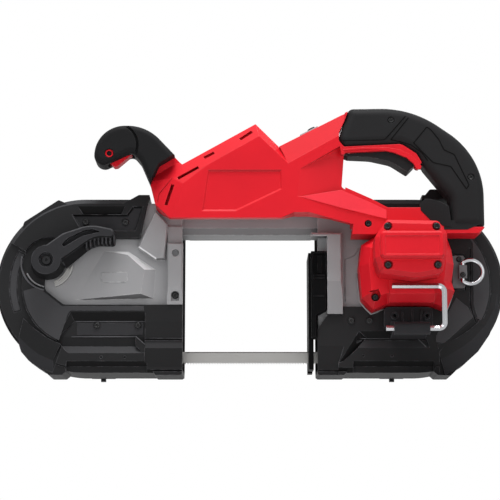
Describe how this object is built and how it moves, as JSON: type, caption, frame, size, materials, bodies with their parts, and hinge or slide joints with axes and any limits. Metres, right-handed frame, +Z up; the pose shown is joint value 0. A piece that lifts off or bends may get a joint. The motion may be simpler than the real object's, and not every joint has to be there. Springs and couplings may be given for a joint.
{
  "type": "portable band saw",
  "caption": "Deep-cut portable band saw: cast frame with a throat, blade over two guarded wheels, geared motor, tension lever, shoe and two trigger handles.",
  "frame": {"origin": "centre of the bounding box's bottom face, on the surface the saw stands on", "axes": "+X from the tension lever side to the motor side, +Y from the motor side to the rear covers, +Z up"},
  "size_m": [0.52, 0.1674, 0.271],
  "materials": {
    "cast_grey": "cast, satin",
    "guard_black": "fine matte texture",
    "red_shell": "satin",
    "grip_black": "soft matte",
    "control_black": "satin",
    "control_silver": "satin",
    "wheel_alloy": "machined",
    "tyre_rubber": "matte",
    "blade_steel": "ground",
    "bright_steel": "polished",
    "plain_steel": "plain",
    "screw_black": "black oxide",
    "contact_brass": "plain"
  },
  "bodies": {
    "frame": {"main_frame": "cast_grey", "left_guard": "guard_black", "right_guard": "guard_black", "cover_hinge_pins": "plain_steel", "bridge_rear_cover": "guard_black", "lever_stop": "plain_steel", "motor_stator": "plain_steel", "counter_bushes": "contact_brass", "drive_bearing": "plain_steel", "shaft_nose_bearing": "plain_steel", "rotor_bearings": "plain_steel", "gear_plate": "wheel_alloy", "motor_housing": "red_shell", "motor_cap": "red_shell", "housing_front": "red_shell", "housing_rear": "red_shell", "rear_grip_front": "grip_black", "rear_grip_back": "grip_black", "switch_module": "control_black", "trigger_pins": "plain_steel", "front_handle": "grip_black", "left_guide_block": "cast_grey", "shoe_lock_screw": "plain_steel", "guide_arms": "plain_steel", "hex_key_clip": "guard_black", "hang_ring_bracket": "cast_grey", "battery_dock": "guard_black", "dock_contacts": "contact_brass", "mode_panel": "control_silver", "button_head_screws": "screw_black", "saw_blade_cutting_run": "blade_steel", "saw_blade_return_run": "blade_steel"},
    "left_cover": {"left_rear_cover": "guard_black"},
    "right_cover": {"right_rear_cover": "guard_black"},
    "left_latch": {"left_cover_latch": "guard_black"},
    "right_latch": {"right_cover_latch": "guard_black"},
    "drive": {"drive_wheel": "wheel_alloy", "drive_tyre": "tyre_rubber", "drive_gear": "plain_steel", "drive_shaft": "plain_steel"},
    "counter": {"counter_gear": "plain_steel"},
    "rotor": {"motor_rotor": "plain_steel"},
    "carriage": {"idler_carriage": "wheel_alloy", "idler_axle": "plain_steel"},
    "idler": {"idler_wheel": "wheel_alloy", "idler_tyre": "tyre_rubber", "idler_bearing": "plain_steel"},
    "lever": {"tension_lever": "control_black", "tension_cam": "plain_steel"},
    "trigger": {"main_trigger": "control_black"},
    "second_trigger": {"front_trigger": "red_shell"},
    "work_stop": {"shoe": "screw_black", "shoe_slider": "control_black"},
    "roller_left_front": {"left_front_roller": "plain_steel"},
    "roller_left_rear": {"left_rear_roller": "plain_steel"},
    "roller_right_front": {"right_front_roller": "plain_steel"},
    "roller_right_rear": {"right_rear_roller": "plain_steel"},
    "key": {"hex_key": "bright_steel"},
    "ring": {"hang_ring": "bright_steel"},
    "button": {"mode_button": "control_black"}
  },
  "joints": [
    {"name": "drive_wheel_spin", "type": "hinge", "parent": "frame", "child": "drive", "pos_m": [0.169, 0.03835, 0.096], "axis": [0, 1, 0], "continuous": true},
    {"name": "counter_gear_spin", "type": "hinge", "parent": "frame", "child": "counter", "pos_m": [0.14261, -0.01165, 0.10173], "axis": [0, 1, 0], "continuous": true},
    {"name": "motor_spin", "type": "hinge", "parent": "frame", "child": "rotor", "pos_m": [0.159, -0.04165, 0.117], "axis": [0, 1, 0], "continuous": true},
    {"name": "idler_carriage_slide", "type": "slide", "parent": "frame", "child": "carriage", "axis": [1, 0, 0], "range_m": [0, 0.008]},
    {"name": "idler_wheel_spin", "type": "hinge", "parent": "carriage", "child": "idler", "pos_m": [-0.169, 0.03835, 0.096], "axis": [0, 1, 0], "continuous": true},
    {"name": "tension_lever_turn", "type": "hinge", "parent": "frame", "child": "lever", "pos_m": [-0.207, -0.00665, 0.115], "axis": [0, 1, 0], "range_deg": [0, 180]},
    {"name": "left_cover_hinge", "type": "hinge", "parent": "frame", "child": "left_cover", "pos_m": [-0.169, 0.05265, 0.1864], "axis": [1, 0, 0], "range_deg": [0, 100]},
    {"name": "right_cover_hinge", "type": "hinge", "parent": "frame", "child": "right_cover", "pos_m": [0.169, 0.05265, 0.1864], "axis": [1, 0, 0], "range_deg": [0, 100]},
    {"name": "left_latch_turn", "type": "hinge", "parent": "left_cover", "child": "left_latch", "pos_m": [-0.155, 0.07915, 0.0115], "axis": [1, 0, 0], "range_deg": [0, 40]},
    {"name": "right_latch_turn", "type": "hinge", "parent": "right_cover", "child": "right_latch", "pos_m": [0.15, 0.07915, 0.0115], "axis": [1, 0, 0], "range_deg": [0, 40]},
    {"name": "main_trigger_pull", "type": "hinge", "parent": "frame", "child": "trigger", "pos_m": [0.101, -0.01565, 0.2255], "axis": [0, -1, 0], "range_deg": [0, 8], "stiffness_Nm_per_rad": 0.6, "springref_deg": -5.73},
    {"name": "front_trigger_pull", "type": "hinge", "parent": "frame", "child": "second_trigger", "pos_m": [-0.1245, -0.01565, 0.2265], "axis": [0, 1, 0], "range_deg": [0, 10], "stiffness_Nm_per_rad": 0.3, "springref_deg": -5.73},
    {"name": "shoe_slide", "type": "slide", "parent": "frame", "child": "work_stop", "axis": [0, 0, 1], "range_m": [0, 0.015]},
    {"name": "hex_key_slide", "type": "slide", "parent": "frame", "child": "key", "axis": [1, 0, 0], "range_m": [0, 0.06]},
    {"name": "hang_ring_swing", "type": "hinge", "parent": "frame", "child": "ring", "pos_m": [0.217, -0.00765, 0.1041], "axis": [0, 0, 1], "range_deg": [-100, 10]},
    {"name": "mode_button_press", "type": "slide", "parent": "frame", "child": "button", "axis": [0.4534, 0, -0.8913], "range_m": [0, 0.0009], "stiffness_N_per_m": 400, "springref_m": -0.0005},
    {"name": "left_front_roller_spin", "type": "hinge", "parent": "frame", "child": "roller_left_front", "pos_m": [-0.08, 0.03237, 0.01841], "axis": [0, 0.4226, -0.9063], "continuous": true},
    {"name": "left_rear_roller_spin", "type": "hinge", "parent": "frame", "child": "roller_left_rear", "pos_m": [-0.08, 0.04433, 0.02399], "axis": [0, 0.4226, -0.9063], "continuous": true},
    {"name": "right_front_roller_spin", "type": "hinge", "parent": "frame", "child": "roller_right_front", "pos_m": [0.08, 0.03237, 0.01841], "axis": [0, 0.4226, -0.9063], "continuous": true},
    {"name": "right_rear_roller_spin", "type": "hinge", "parent": "frame", "child": "roller_right_rear", "pos_m": [0.08, 0.04433, 0.02399], "axis": [0, 0.4226, -0.9063], "continuous": true}
  ],
  "couplings": [
    {"joint": "counter_gear_spin", "follows": "drive_wheel_spin", "ratio": -4.4},
    {"joint": "motor_spin", "follows": "drive_wheel_spin", "ratio": 22.978},
    {"joint": "idler_wheel_spin", "follows": "drive_wheel_spin", "ratio": 1},
    {"joint": "tension_lever_turn", "follows": "idler_carriage_slide", "rad_per_m": 392.7},
    {"joint": "left_rear_roller_spin", "follows": "drive_wheel_spin", "ratio": 12.417},
    {"joint": "left_front_roller_spin", "follows": "drive_wheel_spin", "ratio": -12.417},
    {"joint": "right_rear_roller_spin", "follows": "drive_wheel_spin", "ratio": 12.417},
    {"joint": "right_front_roller_spin", "follows": "drive_wheel_spin", "ratio": -12.417}
  ]
}
